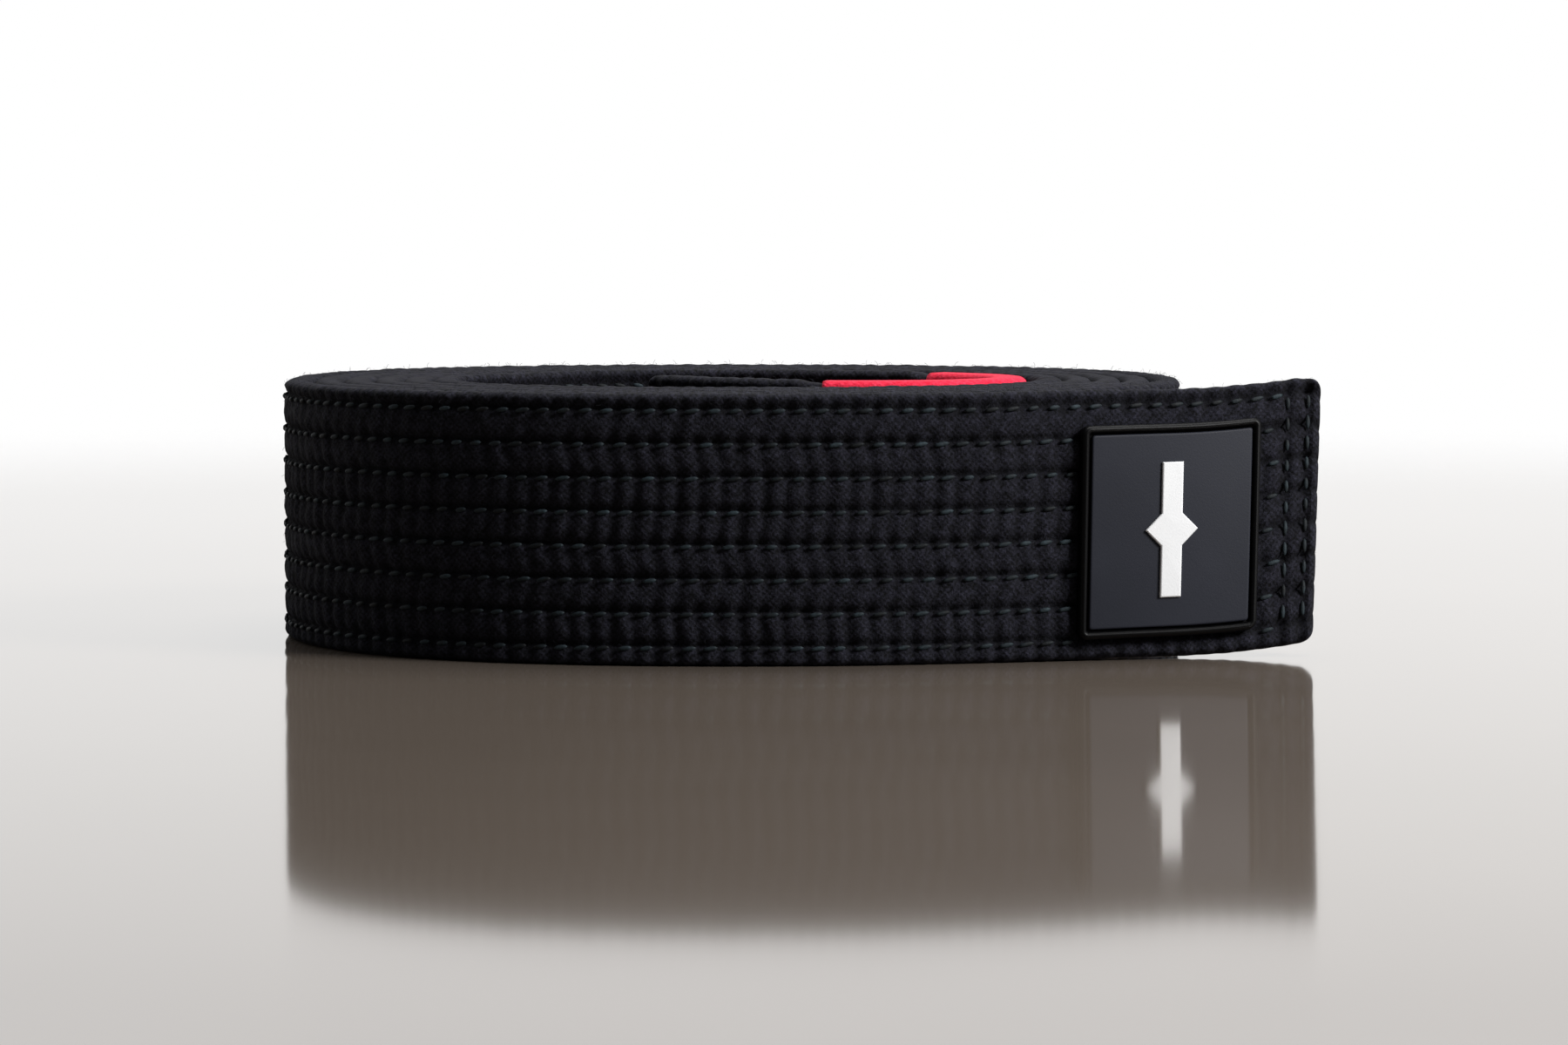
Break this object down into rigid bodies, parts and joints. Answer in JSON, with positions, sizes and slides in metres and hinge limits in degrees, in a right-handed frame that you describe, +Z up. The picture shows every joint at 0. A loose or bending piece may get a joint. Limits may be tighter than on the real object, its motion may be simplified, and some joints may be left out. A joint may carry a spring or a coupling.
{
  "type": "rolled martial arts belt",
  "caption": "Black quilted cotton martial arts belt rolled loosely on its edge, with a moulded patch on its loose outer end and a red rank bar near its inner end.",
  "frame": {"origin": "middle of the box that holds the rolled belt, on the surface that it stands on", "axes": "+X along the roll towards the loose outer end with the patch, -Y out of the front face that carries the patch, +Z up, square to the surface and across the width of the belt"},
  "size_m": [0.1564, 0.1232, 0.0417],
  "materials": {
    "belt_cotton": "brushed black cotton weave, matt and slightly fuzzy",
    "core_cotton": "unseen black cotton core",
    "belt_thread": "blue-black polyester sewing thread, soft sheen",
    "rank_bar_cotton": "bright red cotton weave, matt",
    "rank_bar_thread": "red polyester sewing thread",
    "patch_rim_vinyl": "glossy black soft moulded vinyl",
    "patch_panel_vinyl": "satin slate-grey soft moulded vinyl",
    "patch_emblem_vinyl": "satin white soft moulded vinyl"
  },
  "bodies": {
    "roll": {"roll_cover": "belt_cotton", "roll_core_ply_1": "core_cotton", "roll_core_ply_2": "core_cotton", "roll_stitch_row_1": "belt_thread", "roll_stitch_row_2": "belt_thread", "roll_stitch_row_3": "belt_thread", "roll_stitch_row_4": "belt_thread", "roll_stitch_row_5": "belt_thread", "roll_stitch_row_6": "belt_thread", "roll_stitch_row_7": "belt_thread", "roll_stitch_row_8": "belt_thread", "rank_bar_sleeve": "rank_bar_cotton", "rank_bar_stitch_1": "rank_bar_thread", "rank_bar_stitch_2": "rank_bar_thread"},
    "tail": {"tail_cover": "belt_cotton", "tail_core_ply_1": "core_cotton", "tail_core_ply_2": "core_cotton", "tail_stitch_row_1": "belt_thread", "tail_stitch_row_2": "belt_thread", "tail_stitch_row_3": "belt_thread", "tail_stitch_row_4": "belt_thread", "tail_stitch_row_5": "belt_thread", "tail_stitch_row_6": "belt_thread", "tail_stitch_row_7": "belt_thread", "tail_stitch_row_8": "belt_thread", "tail_end_stitch_1": "belt_thread", "tail_end_stitch_2": "belt_thread", "patch_base": "patch_rim_vinyl", "patch_panel": "patch_panel_vinyl", "patch_emblem": "patch_emblem_vinyl"},
    "inner_tip": {"tip_cover": "belt_cotton", "tip_core_ply_1": "core_cotton", "tip_core_ply_2": "core_cotton", "tip_stitch_row_1": "belt_thread", "tip_stitch_row_2": "belt_thread", "tip_stitch_row_3": "belt_thread", "tip_stitch_row_4": "belt_thread", "tip_stitch_row_5": "belt_thread", "tip_stitch_row_6": "belt_thread", "tip_stitch_row_7": "belt_thread", "tip_stitch_row_8": "belt_thread", "tip_end_stitch_1": "belt_thread", "tip_end_stitch_2": "belt_thread"}
  },
  "joints": [
    {"name": "tail_flex", "type": "hinge", "parent": "roll", "child": "tail", "pos_m": [0.0296, -0.05629, 0.02], "axis": [0, 0, -1], "range_deg": [-6, 60]},
    {"name": "inner_tip_flex", "type": "hinge", "parent": "roll", "child": "inner_tip", "pos_m": [0.00484, -0.01944, 0.0209], "axis": [0, 0, 1], "range_deg": [-15, 15]}
  ]
}
